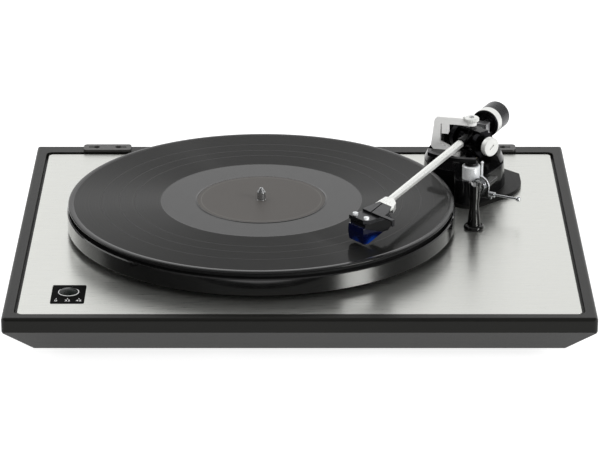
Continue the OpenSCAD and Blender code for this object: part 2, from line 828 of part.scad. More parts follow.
// The drum, with a lobe in front that carries the lift and with the cup round the bearing
module arm_base_body() {
    side = [6.5, -8] - lobe_at;
    side_r = 19.4;
    color([0.06, 0.06, 0.065]) difference() {
        union() {
            at_pivot() translate([-drum_left, 0, 0]) cone(flange_top, drum_top, drum_r + 0.5, drum_r - 1);
            at_pivot() arm_cup();
            at_pivot() translate([lobe_at[0], lobe_at[1], 0]) rotate([0, 0, atan2(side[1], side[0])])
                slab(flange_top, shelf_z) round_pair(lobe_r - 0.5, side_r, norm(side));
            at_pivot() hole(stud_r, hollow_top - nut_t - 3, flange_top + over);
            difference() {
                along_cam() cylinder(r = cam_r, h = 17);
                at_pivot() translate([-60, -60, drum_top - seat]) cube([120, 46, 20]);
            }
        }
        at_pivot() hole(pin_r + bush_wall + seat, shelf_z - bush_len, shelf_z + over);
        at_pivot() hole(4, hollow_top - 20, shelf_z);
        at_lift() hole(piston_r + running, flange_top + 4, shelf_z + over);
        along_cam(-over) cylinder(r = cam_shaft_r + running, h = cam_shaft_len + over);
        along_cam(-cam_len - over) cylinder(r = cam_r + 0.2, h = cam_len + over);
    }
}

module arm_clamp_nut() {
    color([0.7, 0.7, 0.7]) at_pivot() difference() {
        hole(13, hollow_top - nut_t, hollow_top);
        hole(stud_r + seat, hollow_top - nut_t - over, hollow_top + over);
        for (a = [0:60:300])
            rotate([0, 0, a]) translate([13.5, 0, 0])
                hole(1.6, hollow_top - nut_t - over, hollow_top + over);
    }
}

module pivot_bush() {
    color([0.75, 0.6, 0.3]) at_pivot()
        ring(pin_r + bush_wall, pin_r + running, shelf_z - bush_len, shelf_z);
}

// ---------------------------------------------------------------- yoke and pivots

// Outline of the yoke in its own upright plane, from the pivot's axis to the left
module yoke_outline() {
    left = 30.6;
    tab_low = yoke_low - 8.2;
    polygon([
        [3, yoke_high], [-left + 3.6, yoke_high], [-left + 0.8, yoke_high - 2.4], [-left - 2, axis_z - 7],
        [-left + 0.4, axis_z - 9.6], [-17, shelf_z + 1.2], [-16, shelf_z],
        [-9, shelf_z], [-9, shelf_z + 3.6], [-17.4, shelf_z + 3.6],
        [-17.4, axis_z - 7.6], [-left + 5.3, axis_z - 4], [-left + 5.9, yoke_low],
        [-23.8, yoke_low], [-23.8, tab_low], [-18.4, tab_low], [-18.4, yoke_low], [3, yoke_low]
    ]);
}

module pivot_yoke() {
    color([0.86, 0.86, 0.86]) at_pivot(yoke_angle) difference() {
        union() {
            rotate([90, 0, 0]) linear_extrude(yoke_t, center = true) yoke_outline();
            hole(4.2, yoke_low, yoke_high);
        }
        hole(2 + seat, yoke_low - over, yoke_high + over);
        hole(nut_r + 0.6, nut_seat, yoke_high + over);
        translate([-12.5, 0, 0]) hole(1.6, shelf_z - over, shelf_z + 8);
    }
}

module upper_pivot_screw() {
    top = nut_seat + nut_h + 0.8;
    color([0.8, 0.8, 0.8]) at_pivot() difference() {
        rotate_extrude() polygon([
            [0, frame_high - 2], [0.6, frame_high - 2], [1.2, frame_high - 1.2], [1.2, yoke_low],
            [2, yoke_low], [2, top - 0.6], [1.4, top], [0, top]
        ]);
        translate([-3, -0.3, top - 0.8]) cube([6, 0.6, 2]);
    }
}

module pivot_lock_nut() {
    ridge_n = 28;
    color([0.85, 0.85, 0.85]) at_pivot() difference() {
        rotate_extrude() polygon([
            [2 + seat, nut_seat], [nut_r - 0.5, nut_seat], [nut_r, nut_seat + 0.5],
            [nut_r, nut_seat + nut_h - 0.8], [nut_r - 0.9, nut_seat + nut_h],
            [2 + seat, nut_seat + nut_h]
        ]);
        for (i = [0:ridge_n - 1]) rotate([0, 0, i * 360 / ridge_n]) translate([nut_r + 0.15, 0, 0])
            hole(0.4, nut_seat - over, nut_seat + nut_h + over, $fn = 16);
    }
}

// ---------------------------------------------------------------- bearing frame

module bearing_frame() {
    color([0.07, 0.07, 0.07]) difference() {
        union() {
            for (s = [-1, 1]) intersection() {
                along_bearing(s * (frame_half - cheek_t / 2))
                    cylinder(r = cheek_r, h = cheek_t, center = true);
                at_bearing() slab(frame_low, frame_high) square([60, 2 * cheek_r], center = true);
            }
            at_bearing() slab(frame_low, frame_low + bar_low_t)
                square([2 * frame_half, frame_t], center = true);
            at_bearing() slab(frame_high - bar_high_t, frame_high)
                square([2 * frame_half, frame_t], center = true);
            along_bearing(frame_half - seat) cylinder(r = 6, h = boss_len + seat);
            along_bearing(frame_half) cylinder(r = spigot_r, h = boss_len + spigot_len);
            at_pivot() hole(pin_r, shelf_z - bush_len + 1, frame_low + 1);
            at_pivot() hole(pin_r + 1.6, shelf_z + 0.3, frame_low + 1);
        }
        at_pivot() hole(1.2 + running, frame_high - bar_high_t - over, frame_high + over);
        along_bearing() cylinder(r = trunnion_r + running, h = 2 * frame_half + 20, center = true);
    }
}

module bearing_dial() {
    color([0.86, 0.86, 0.86]) along_bearing(frame_half + boss_len + 0.1) difference() {
        rotate_extrude() polygon([
            [0, 0], [dial_r - 0.3, 0], [dial_r, 0.4], [dial_r, 4.2], [dial_r - 0.5, 4.8], [0, 4.8]
        ]);
        hole(spigot_r + running, -over, spigot_len + 0.2);
        rotate([0, 0, -50]) translate([-2.6, -0.65, 3.6]) cube([5.2, 1.3, 3]);
    }
}

// ---------------------------------------------------------------- arm

// A bar with eight flats, where the widths across them are given for both ends
module octagon_bar(length, w_from, w_to) {
    corner = 1 / cos(22.5) / 2;
    rotate([0, 0, 22.5]) cylinder(r1 = w_from * corner, r2 = w_to * corner, h = length, $fn = 8);
}

sleeve_len = 24;
tube_start = 8;
tube_bore_r = 1.9;
collar_len = 13;
tube_end = bend_dist - collar_len;
tail_r = 2.5;

module arm_hub() {
    hub_half = frame_half - cheek_t - 0.4;
    color([0.09, 0.09, 0.09]) difference() {
        union() {
            along_bearing() cylinder(r = 7.2, h = 2 * hub_half, center = true);
            along_bearing() cylinder(r = trunnion_r, h = 2 * frame_half + 6, center = true);
            along_tube() cylinder(r1 = 4, r2 = 4.1, h = sleeve_len);
            along_tail() cylinder(r = 3.8, h = 10);
        }
        along_tube(tube_start) octagon_bar(sleeve_len, tube_w + 2 * seat, tube_w + 2 * seat);
        along_tail(2) cylinder(r = tail_r + seat, h = 12);
    }
}

module arm_tube() {
    color([0.82, 0.83, 0.84]) difference() {
        along_tube(tube_start) octagon_bar(tube_end - tube_start, tube_w, tube_tip_w);
        along_tube(tube_start - over) cylinder(r = tube_bore_r, h = tube_end - tube_start + 2 * over);
    }
}

// The clamp that joins the tube to the headshell, with a spur along each side of the plate
module shell_collar() {
    low = tube_z - tube_tip_w / 2 + 0.4;
    high = shell_top;
    half = tube_tip_w / 2 + 0.8;
    side = polar(half, offset_angle);
    back = [-shell_shift, shell_len] + polar(collar_len, 90 + offset_angle);
    tip = shell_len - 4.6;
    color([0.88, 0.88, 0.88]) {
        at_shell() slab(low, high)
            polygon([[-14.4, shell_len], back - side, back + side, [-2.4, shell_len + 7.5], [3, shell_len]]);
        at_shell() slab(shell_low, high) {
            polygon([[-12.9, shell_len], [-12.9, shell_len + 1], [-14.4, shell_len + 1], [-12.5, tip]]);
            polygon([[1.4, shell_len], [1.4, shell_len + 1], [3, shell_len + 1], [5, tip]]);
        }
    }
}

// Outline of the headshell's upper plate, with the finger lift on its right
module shell_outline() {
    half = shell_w / 2;
    polygon([
        [-half, step_y], [half, step_y], [half + 12, step_y + 0.4], [half + 13, step_y + 1.4],
        [half + 13, step_y + 3.4], [half + 1.5, step_y + 3.6], [half, step_y + 8],
        [1.2, shell_len - seat], [-12.7, shell_len - seat]
    ]);
}

module headshell() {
    half = shell_w / 2;
    color([0.36, 0.36, 0.36]) at_shell() difference() {
        union() {
            slab(shell_low, shell_top) intersection() {
                shell_outline();
                translate([-50, 0]) square([50 + half, 100]);
            }
            slab(shell_top - 1.1, shell_top) shell_outline();
            translate([half + 11.8, step_y + 1.4, shell_top - 5.4]) cube([1.2, 2, 4.8]);
        }
        translate([0, step_y, shell_top - 0.9]) rotate([0, 0, offset_angle])
            translate([-0.5, -2, 0]) cube([1, 60, 4]);
    }
}

module cartridge_plate() {
    half = shell_w / 2;
    color([0.3, 0.3, 0.3]) difference() {
        at_shell() slab(mount_face, shell_low) polygon([
            [-half, 0], [half - 3.5, 0], [half, 3.5], [half, 24], [half - 4, 27], [2 - half, 27], [-half, 25]
        ]);
        at_cartridge_screws() hole(1.3, mount_face - over, shell_low + over);
    }
}

// Levels of the cartridge's underside: at its front, and at its back
body_front_z = mount_face - 3.4;
body_back_z = mount_face - 9.8;

// Side view of the cartridge: its underside falls to the back
module cartridge_body() {
    color([0.04, 0.04, 0.05]) difference() {
        at_shell() {
            rotate([90, 0, 90]) linear_extrude(17.2, center = true) polygon([
                [0.5, mount_face], [0.5, body_front_z], [18, body_back_z], [23, body_back_z],
                [26.5, body_back_z + 3], [26.5, mount_face]
            ]);
            for (i = [-1.5:1:1.5])
                translate([i * 3.4, 26, mount_face - 4]) rotate([-90, 0, 0]) cylinder(r = 0.6, h = 5);
        }
        at_cartridge_screws() hole(1.05, mount_face - 3.8, mount_face + over);
    }
}

module cartridge_screws() {
    color([0.85, 0.85, 0.86]) at_cartridge_screws() difference() {
        union() {
            hole(1, mount_face - 3.6, shell_low + seat);
            hole(2.1, shell_low, shell_low + 1.9);
        }
        translate([-0.35, -3, shell_low + 1.1]) cube([0.7, 6, 2]);
    }
}

// The clip-on stylus carrier: a wedge under the cartridge, whose sides draw in
module stylus_unit() {
    low = record_top + 1.8;
    top = body_front_z - seat;
    color([0.04, 0.12, 0.42]) at_shell() difference() {
        intersection() {
            rotate([90, 0, 90]) linear_extrude(30, center = true) polygon([
                [-1.2, top + 0.6], [-1.8, top - 4], [-1.4, low + 1.2], [0.2, low], [4.5, low],
                [17.6, body_back_z - 0.4], [17.9, body_back_z - 2 * seat], [0.5, top], [0.45, top + 0.6]
            ]);
            rotate([90, 0, 0]) linear_extrude(60, center = true) polygon([
                [-8.8, top + 1], [-8.8, top - 6], [-7.6, low - 1],
                [7.6, low - 1], [8.8, top - 6], [8.8, top + 1]
            ]);
        }
        translate([-1.4, 1.6, low - 1]) cube([2.8, 5, 4.6]);
        cantilever(0.02);
    }
}

module stylus_tip() {
    tip_z = record_top + stylus_gap;
    color([0.8, 0.8, 0.82]) at_shell() {
        translate([0, stylus_y, tip_z]) cylinder(r1 = 0.08, r2 = 0.3, h = 1.2);
        cantilever(0);
    }
}

// The rod that carries the stylus, a given distance thicker all round
module cantilever(grow) {
    translate([0, stylus_y - 0.4, record_top + stylus_gap + 1.2]) rotate([-62, 0, 0])
        cylinder(r = 0.35 + grow, h = 8.4 + grow);
}

module tail_shaft() {
    color([0.8, 0.8, 0.8]) along_tail(2.2) cylinder(r = tail_r, h = 53);
}

module tail_block() {
    color([0.42, 0.42, 0.42]) difference() {
        at_tube() translate([-6.3, 16, tube_z - 7]) cube([12.6, 8, 11]);
        along_tail(10) cylinder(r = tail_r + seat, h = 20);
    }
}

weight_start = 28.5;
ring_from = 1;
ring_to = 9;
ring_rise = 0.15;
ring_seat = weight_r - 1.5;

module counterweight() {
    bore = tail_r + running;
    recess_r = weight_r - 3;
    color([0.1, 0.1, 0.1]) along_tail(weight_start) rotate_extrude() polygon([
        [bore, 5], [recess_r, 5], [recess_r, 1], [recess_r + 1, 0], [weight_r - 0.5, 0],
        [weight_r, 0.5], [weight_r, ring_from], [ring_seat, ring_from], [ring_seat, ring_to],
        [weight_r, ring_to], [weight_r, weight_len - 0.8], [weight_r - 0.8, weight_len],
        [bore + 1, weight_len], [bore, weight_len - 1]
    ]);
}

module weight_ring() {
    color([0.9, 0.9, 0.9]) along_tail(weight_start)
        ring(weight_r + ring_rise, ring_seat + seat, ring_from + seat, ring_to - seat);
}

// ---------------------------------------------------------------- arm rest and lift

module at_post() at_pivot(post_angle) translate([0, -post_dist, 0]) children();

module rest_post() {
    h = post_top - plate_top;
    rim_r = 1.7;
    color([0.04, 0.04, 0.04]) at_post() difference() {
        union() {
            hole(post_stud_r, deck_z - 5, plate_top + 1);
            translate([0, 0, plate_top]) rotate_extrude() {
                polygon([
                    [0, 0], [post_r - rim_r, 0], [post_r - rim_r, 2 * rim_r], [5.2, 2 * rim_r + 0.2],
                    [5, 6], [4.6, 10], [3.7, 17], [3.6, 21], [4.2, 26], [4.4, h - 3], [4.6, h - 1],
                    [4.1, h], [0, h]
                ]);
                translate([post_r - rim_r, rim_r]) circle(rim_r);
            }
        }
        translate([0, -8, post_top]) rotate([-90, 0, 0]) rotate([0, 0, 22.5])
            cylinder(r = 2.9, h = 16, $fn = 8);
    }
}

// The collar guides the lift's piston, and an ear at its foot holds a ball-ended pin
module lift_collar() {
    top = shelf_z + collar_h;
    color([0.86, 0.87, 0.88]) at_lift() {
        translate([0, 0, shelf_z]) rotate_extrude() polygon([
            [piston_r + running, 0], [collar_r, 0], [collar_r, collar_h - 0.8],
            [collar_r - 0.8, collar_h], [collar_r - 1.6, collar_h],
            [collar_r - 1.6, collar_h - 0.6], [piston_r + running, collar_h - 0.6]
        ]);
        translate([collar_r - 0.8, -1.5, shelf_z]) cube([3.6, 3, 1]);
        translate([collar_r + 1.4, 0, 0]) {
            hole(0.8, shelf_z, top + 1.6);
            translate([0, 0, top + 2]) sphere(1.2);
        }
    }
}

// The bar follows the arm's sweep, so that it lifts the tube anywhere over the record
module lift_platform() {
    inner = lift_dist - lift_bar_w / 2;
    outer = lift_dist + lift_bar_w / 2;
    low = lift_bar_top - lift_bar_h;
    color([0.24, 0.24, 0.24]) {
        at_pivot() intersection() {
            ring(outer, inner, low, lift_bar_top);
            slab(low, lift_bar_top) wedge(-90 - 50, -90 + 2, outer);
        }
        at_lift() hole(5.3, shelf_z + collar_h + 0.3, low + seat);
        at_lift() hole(piston_r, flange_top + 8, shelf_z + collar_h + 1);
    }
}

module lift_cam_housing() {
    color([0.86, 0.86, 0.87]) difference() {
        along_cam() ring(cam_r, cam_shaft_r + running, -cam_len, -seat);
        at_lift() hole(collar_r + 0.3, shelf_z - 0.3, shelf_z + collar_h);
    }
}

// Lever: a drum in the housing, a cranked plate, a rod and a ball
module cue_lever() {
    plate_y = -cam_len - 0.3;
    rod_y = plate_y - 1.2;
    color([0.82, 0.82, 0.82]) {
        along_cam(plate_y - 2.6) difference() {
            cylinder(r = 5.3, h = 2.6);
            hole(3.4, -over, 1.2);
        }
        along_cam(plate_y - 1) cylinder(r = cam_shaft_r, h = cam_shaft_len - plate_y);
        at_cam() {
            lever_plate(plate_y);
            translate([9, rod_y, lever_z]) rotate([0, 90, 0]) {
                cylinder(r = 2.1, h = 5);
                cylinder(r = 0.9, h = 25);
            }
            translate([34, rod_y, lever_z]) sphere(2.1);
        }
    }
}

// A crescent plate round the lever's hub, with a groove, and the arm below it
module lever_plate(y) {
    translate([0, y, 0]) rotate([90, 0, 0]) difference() {
        linear_extrude(1.6) difference() {
            union() {
                circle(8.9);
                translate([0, -9]) square([11, 6]);
            }
            polygon([[0.6, 5.3], [0.6, 12], [-12, 12], [-12, -12], [-2.5, -12], [-2.5, -4.5], [-1, 0]]);
        }
        translate([0, 0, 0.8]) ring(7.1, 6.1, 0, 2);
    }
}

// ---------------------------------------------------------------- drawing

plinth_body();
top_plate();
bottom_cover();
cover_screws();
foot(-1, -1);  // foot_front_left
foot(1, -1);  // foot_front_right
foot(-1, 1);  // foot_rear_left
foot(1, 1);  // foot_rear_right
foot_pads();
lid_hinge(-1);  // lid_hinge_left
lid_hinge(1);  // lid_hinge_right
switch_panel();
switch_ring();
speed_knob();
motor_body();
motor_flange();
motor_screws();
motor_pulley();
drive_belt();
bearing_housing();
bearing_bushes();
thrust_ball();
spindle_shaft();
sub_platter();
platter();
platter_mat();
record_disc();
record_label();
control_board();
connector_plate();
phono_sockets();
ground_post();
power_inlet();
arm_base_flange();
arm_base_body();
arm_clamp_nut();
pivot_bush();
pivot_yoke();
upper_pivot_screw();
pivot_lock_nut();
rest_post();
lift_collar();
lift_platform();
lift_cam_housing();
cue_lever();
bearing_frame();
bearing_dial();
arm_hub();
arm_tube();
shell_collar();
headshell();
cartridge_plate();
cartridge_body();
cartridge_screws();
stylus_unit();
stylus_tip();
tail_shaft();
tail_block();
counterweight();
weight_ring();
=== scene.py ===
# The record player's looks: finishes for its CAD nodes, a finer record, the figures on its switch
# panel, and the floor, room, lamps and camera.
import math

import bmesh
import bpy
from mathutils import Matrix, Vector


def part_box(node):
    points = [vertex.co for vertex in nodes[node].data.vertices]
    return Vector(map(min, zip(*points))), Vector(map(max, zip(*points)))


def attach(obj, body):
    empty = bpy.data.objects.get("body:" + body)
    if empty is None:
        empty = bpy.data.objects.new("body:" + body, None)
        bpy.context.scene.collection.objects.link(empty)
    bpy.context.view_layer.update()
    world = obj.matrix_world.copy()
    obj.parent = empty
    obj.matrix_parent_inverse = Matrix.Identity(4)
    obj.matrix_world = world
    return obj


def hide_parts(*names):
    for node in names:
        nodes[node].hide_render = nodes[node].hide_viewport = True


MM = 0.001  # one millimetre, in the frame's metres
MM_IN_M = 1000  # millimetres in a metre
WHITE = (1, 1, 1, 1)
NOISE_LOW, NOISE_HIGH = 0.3, 0.7  # nearly all of a noise's values lie between these

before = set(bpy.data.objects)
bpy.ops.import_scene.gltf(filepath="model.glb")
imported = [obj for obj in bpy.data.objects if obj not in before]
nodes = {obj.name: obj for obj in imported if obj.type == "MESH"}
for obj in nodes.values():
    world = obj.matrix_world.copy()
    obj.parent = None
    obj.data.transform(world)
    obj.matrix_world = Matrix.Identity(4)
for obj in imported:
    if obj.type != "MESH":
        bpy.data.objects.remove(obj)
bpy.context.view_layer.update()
scene = bpy.context.scene
scene.view_settings.view_transform = "Standard"


def linear(value):
    """One 0..255 display level as scene-linear light, by the sRGB curve."""
    v = value / 255
    return v / 12.92 if v <= 0.04045 else ((v + 0.055) / 1.055) ** 2.4


def tone(*levels):
    """A display colour, one grey level or three, as a linear RGBA colour."""
    if len(levels) == 1:
        levels = levels * 3
    return (*[linear(v) for v in levels], 1.0)


def shade(colour, share):
    """A colour times a share, no lighter than white."""
    return tuple(min(1, c * share) for c in colour[:3]) + (1.0,)


def middle(node):
    """The centre of a CAD node's box."""
    low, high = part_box(node)
    return (low + high) / 2


# ---------------------------------------------------------------- materials


class Graph:
    """The node tree of a material or a world, under construction."""

    def __init__(self, owner):
        owner.use_nodes = True
        self.tree = owner.node_tree
        self.tree.nodes.clear()

    def add(self, kind, **settings):
        node = self.tree.nodes.new(kind)
        for key, value in settings.items():
            setattr(node, key, value)
        return node

    def join(self, start, end):
        self.tree.links.new(start, end)

    def feed(self, node, index, value):
        """Puts a number, a colour or another node's output into a socket."""
        if hasattr(value, "links"):
            self.join(value, node.inputs[index])
        else:
            node.inputs[index].default_value = value

    def math(self, operation, a, b):
        node = self.add("ShaderNodeMath", operation=operation)
        self.feed(node, 0, a)
        self.feed(node, 1, b)
        return node.outputs[0]

    def ramp(self, value, low, high, out_low=0.0, out_high=1.0, smooth=False):
        """out_low where the value is low, out_high where it is high, and between them between."""
        curve = "SMOOTHSTEP" if smooth else "LINEAR"
        node = self.add("ShaderNodeMapRange", interpolation_type=curve)
        for index, number in enumerate((value, low, high, out_low, out_high)):
            self.feed(node, index, number)
        return node.outputs[0]


class Finish(Graph):
    """A material under construction: one Principled shader and the nodes that feed it."""

    def __init__(self, name, **sockets):
        self.material = bpy.data.materials.new(name)
        super().__init__(self.material)
        self.shader = self.add("ShaderNodeBsdfPrincipled")
        output = self.add("ShaderNodeOutputMaterial")
        self.join(self.shader.outputs[0], output.inputs["Surface"])
        for socket, value in sockets.items():
            self.shader.inputs[socket.replace("_", " ")].default_value = value
        self.normal = None

    def place(self, stretch=(1, 1, 1), origin=(0, 0, 0)):
        """Object coordinates about an origin, each axis stretched."""
        coords = self.add("ShaderNodeTexCoord").outputs["Object"]
        for operation, amounts in (("SUBTRACT", origin), ("MULTIPLY", stretch)):
            step = self.add("ShaderNodeVectorMath", operation=operation)
            self.join(coords, step.inputs[0])
            step.inputs[1].default_value = amounts
            coords = step.outputs[0]
        return coords

    def distance(self, origin, from_axis=False):
        """Millimetres from a point, or from the vertical axis through it."""
        length = self.add("ShaderNodeVectorMath", operation="LENGTH")
        scale = (MM_IN_M, MM_IN_M, 0 if from_axis else MM_IN_M)
        self.join(self.place(scale, origin), length.inputs[0])
        return length.outputs["Value"]

    def noise(self, per_metre, detail=3, rough=0.55, stretch=(1, 1, 1)):
        """Even noise about 0.5, with so many waves in a metre."""
        node = self.add("ShaderNodeTexNoise")
        self.join(self.place(stretch), node.inputs["Vector"])
        node.inputs["Scale"].default_value = per_metre
        node.inputs["Detail"].default_value = detail
        node.inputs["Roughness"].default_value = rough
        return node.outputs[0]

    def mix(self, factor, one, two):
        node = self.add("ShaderNodeMix", data_type="RGBA")
        for index, value in ((0, factor), (6, one), (7, two)):
            self.feed(node, index, value)
        return node.outputs[2]

    def colour(self, factor, one, two):
        """The surface's colour, from one to two as the factor goes from 0 to 1."""
        self.join(self.mix(factor, one, two), self.shader.inputs["Base Color"])

    def rough(self, noise, low, high):
        """The surface's roughness, from low to high with a noise."""
        spread = self.ramp(noise, NOISE_LOW, NOISE_HIGH, low, high)
        self.join(spread, self.shader.inputs["Roughness"])

    def round_edges(self, radius):
        """Softens hard edges in the shading."""
        node = self.add("ShaderNodeBevel", samples=6)
        node.inputs["Radius"].default_value = radius
        self.normal = node.outputs[0]
        self.join(self.normal, self.shader.inputs["Normal"])

    def bump(self, height, distance, strength=1.0):
        """Relief of a height in metres, over whatever shades the surface so far."""
        node = self.add("ShaderNodeBump")
        node.inputs["Strength"].default_value = strength
        node.inputs["Distance"].default_value = distance
        self.feed(node, "Height", height)
        if self.normal:
            self.join(self.normal, node.inputs["Normal"])
        self.normal = node.outputs[0]
        self.join(self.normal, self.shader.inputs["Normal"])

    def along(self, x, y, z):
        """Runs the shader's stretched highlights along one direction."""
        node = self.add("ShaderNodeCombineXYZ")
        for index, number in enumerate((x, y, z)):
            node.inputs[index].default_value = number
        self.join(node.outputs[0], self.shader.inputs["Tangent"])

    def across_grooves(self, origin):
        """Runs the shader's stretched highlights outwards from a vertical axis."""
        self.join(self.place((1, 1, 0), origin), self.shader.inputs["Tangent"])


def plain_plastic(name, colour, roughness, grain=900, edge=0.25, depth=0.03, **sockets):
    """Moulded or painted surface: soft edges, faint mottling, fine grain.

    The grain is in waves a metre, the edge's radius and the grain's depth in millimetres."""
    made = Finish(name, **sockets)
    made.round_edges(edge * MM)
    mottling = made.noise(45, detail=4)
    made.colour(mottling, colour, shade(colour, 1.25))
    grit = made.noise(grain, detail=2, rough=0.6)
    made.rough(grit, roughness * 0.88, roughness * 1.12)
    made.bump(grit, depth * MM)
    return made


def metal(name, colour, roughness, depth=0.008):
    """Turned, plated or anodised metal: soft edges, faint tool marks of a depth in millimetres."""
    made = Finish(name, Metallic=1.0)
    made.round_edges(0.2 * MM)
    tool_marks = made.noise(600, detail=3, rough=0.6)
    made.colour(tool_marks, shade(colour, 0.93), colour)
    made.rough(tool_marks, roughness * 0.8, roughness * 1.2)
    made.bump(tool_marks, depth * MM)
    return made


def dress(finish, *names):
    """Gives CAD nodes a material."""
    for name in names:
        node = nodes[name]
        if not node.material_slots:
            node.data.materials.append(finish.material)
        for slot in node.material_slots:
            slot.material = finish.material


disc = middle("record_disc")

# Plinth: charcoal lacquer, satin, with a fine even grain.
lacquer = Finish("plinth_lacquer", Specular_IOR_Level=0.2)
lacquer.round_edges(0.6 * MM)
lacquer.colour(lacquer.noise(18, detail=4), tone(17, 17, 15), tone(23, 23, 20))
lacquer_grain = lacquer.noise(1500, detail=3, rough=0.65)
lacquer.rough(lacquer_grain, 0.34, 0.44)
lacquer.bump(lacquer_grain, 0.05 * MM, strength=0.8)
dress(lacquer, "plinth_body")

# Top plate: aluminium brushed from side to side, with long and short marks.
brushed = Finish("brushed_plate", Metallic=1.0, Anisotropic=0.7)
brushed.along(0, 1, 0)
brushed.round_edges(0.2 * MM)
long_marks = brushed.noise(2600, detail=4, rough=0.7, stretch=(0.012, 1, 1))
short_marks = brushed.noise(1100, detail=3, rough=0.6, stretch=(0.05, 1, 1))
marks = brushed.math("ADD", brushed.math("MULTIPLY", long_marks, 0.6),
                     brushed.math("MULTIPLY", short_marks, 0.4))
brushed.colour(brushed.ramp(marks, 0.35, 0.65), tone(224, 225, 220), tone(241, 242, 237))
brushed.rough(marks, 0.25, 0.35)
brushed.bump(marks, 0.015 * MM, strength=0.5)
dress(brushed, "top_plate")

# Platter: gloss black lacquer, a little uneven.
gloss = Finish("platter_black", Coat_Weight=0.3, Coat_Roughness=0.05)
gloss.round_edges(0.35 * MM)
gloss_cloud = gloss.noise(60)
gloss.colour(gloss_cloud, tone(14), tone(20))
gloss.rough(gloss_cloud, 0.08, 0.14)
gloss.bump(gloss.noise(250, detail=2), 0.006 * MM)
dress(gloss, "platter")

# Felt, rubber, moulded and painted pieces.
dress(plain_plastic("mat", tone(28), 0.85, grain=2200, edge=0.4, depth=0.12), "platter_mat")
dress(plain_plastic("rubber", tone(32), 0.8, grain=1800, edge=0.4, depth=0.06),
      "foot_pads", "drive_belt")
dress(plain_plastic("foot_plastic", tone(40), 0.5),
      "foot_front_left", "foot_front_right", "foot_rear_left", "foot_rear_right")
dress(plain_plastic("cover_black", tone(36), 0.6, grain=700, depth=0.08),
      "bottom_cover", "connector_plate", "power_inlet")
dress(plain_plastic("hinge_grey", tone(62, 61, 60), 0.42), "lid_hinge_left", "lid_hinge_right")
dress(plain_plastic("panel_black", tone(9), 0.5, edge=0.15, depth=0.01, Specular_IOR_Level=0.01),
      "switch_panel")
dress(plain_plastic("ring_white", tone(205), 0.5, edge=0.05, depth=0.01), "switch_ring")
dress(plain_plastic("knob_black", tone(10, 16, 14), 0.26, edge=0.3, depth=0.004,
                    Specular_IOR_Level=0.12), "speed_knob")
dress(plain_plastic("sub_platter", tone(38), 0.5), "sub_platter")
dress(plain_plastic("board_green", tone(40, 92, 58), 0.4), "control_board")
dress(plain_plastic("base_black", tone(8, 8, 9), 0.16, edge=0.4, depth=0.004,
                    Specular_IOR_Level=0.35), "arm_base_body")
dress(plain_plastic("flange_grey", tone(20, 20, 19), 0.4, edge=0.3, Specular_IOR_Level=0.1),
      "arm_base_flange")
dress(plain_plastic("post_black", tone(7), 0.12, edge=0.3, depth=0.003), "rest_post")
dress(plain_plastic("cartridge_black", tone(8, 8, 11), 0.16, edge=0.3, depth=0.004),
      "cartridge_body")

# Satin paint and plating, paler than bare metal because they mirror less of the room.
dress(plain_plastic("yoke_silver", tone(247, 247, 243), 0.34, edge=0.2, depth=0.006),
      "pivot_yoke")
dress(plain_plastic("arm_silver", tone(219, 220, 217), 0.34, edge=0.2, depth=0.006, Metallic=0.3),
      "pivot_lock_nut", "bearing_dial", "weight_ring")
dress(plain_plastic("tube_silver", tone(230, 231, 228), 0.3, edge=0.1, depth=0.004, Metallic=0.7),
      "arm_tube", "shell_collar")
dress(plain_plastic("satin_chrome", tone(230, 233, 236), 0.3, depth=0.002, Metallic=0.4),
      "lift_collar", "cartridge_screws")

# Bare, plated and anodised metal.
dress(metal("chrome", tone(230, 232, 235), 0.16, depth=0.002), "lift_cam_housing", "cue_lever")
dress(metal("motor_case", tone(165), 0.4), "motor_body")
dress(metal("zinc_steel", tone(196, 197, 198), 0.3),
      "cover_screws", "motor_flange", "motor_screws", "thrust_ball", "spindle_shaft",
      "arm_clamp_nut", "upper_pivot_screw", "tail_shaft")
dress(metal("brass", tone(206, 178, 120), 0.28),
      "bearing_housing", "bearing_bushes", "phono_sockets", "ground_post", "pivot_bush")
dress(metal("pulley_metal", tone(212), 0.26), "motor_pulley", "stylus_tip")
dress(metal("frame_black", tone(26, 26, 28), 0.3, depth=0.004), "bearing_frame", "arm_hub")
dress(metal("shell_grey", tone(58, 58, 60), 0.34, depth=0.004),
      "headshell", "cartridge_plate", "lift_platform")
dress(metal("block_grey", tone(188, 188, 190), 0.36, depth=0.004), "tail_block")
dress(metal("weight_black", tone(48, 48, 50), 0.3, depth=0.004), "counterweight")

# Stylus carrier: clear blue, with a painted glow: its colour is painted brighter low in its
# middle, where light would gather.
blue = Finish("stylus_blue", IOR=1.5, Transmission_Weight=0.35, Coat_Weight=0.4)
blue.round_edges(0.2 * MM)
blue_cloud = blue.noise(260)
painted_glow_centre = middle("stylus_unit")
painted_glow_centre.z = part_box("stylus_unit")[0].z
# Painted glow: the colour turns bright blue near a point low in the carrier's middle, standing in
# for light gathered in the clear blue.
painted_glow = blue.ramp(blue.math("ADD", blue.distance(painted_glow_centre), blue_cloud), 4.5, 12.0, 1.0, 0.0,
                 smooth=True)
blue.colour(painted_glow, tone(6, 12, 48), tone(30, 104, 250))
blue.rough(blue_cloud, 0.08, 0.14)
dress(blue, "stylus_unit")

# Label: plain dark paper with a faint pressed ring.
paper = Finish("label", Specular_IOR_Level=0.35)
label_r = paper.distance(disc, from_axis=True)
fibres = paper.noise(1400, detail=4, rough=0.7)
pressed_ring = paper.math("SUBTRACT", paper.ramp(label_r, 46.6, 46.9, smooth=True),
                          paper.ramp(label_r, 47.1, 47.4, smooth=True))
paper_colour = paper.mix(fibres, tone(78, 75, 72), tone(92, 89, 86))
paper.colour(paper.math("MULTIPLY", pressed_ring, 0.35), paper_colour, tone(140, 138, 134))
paper.rough(fibres, 0.52, 0.68)
paper.bump(fibres, 0.02 * MM, strength=0.6)
dress(paper, "record_label")

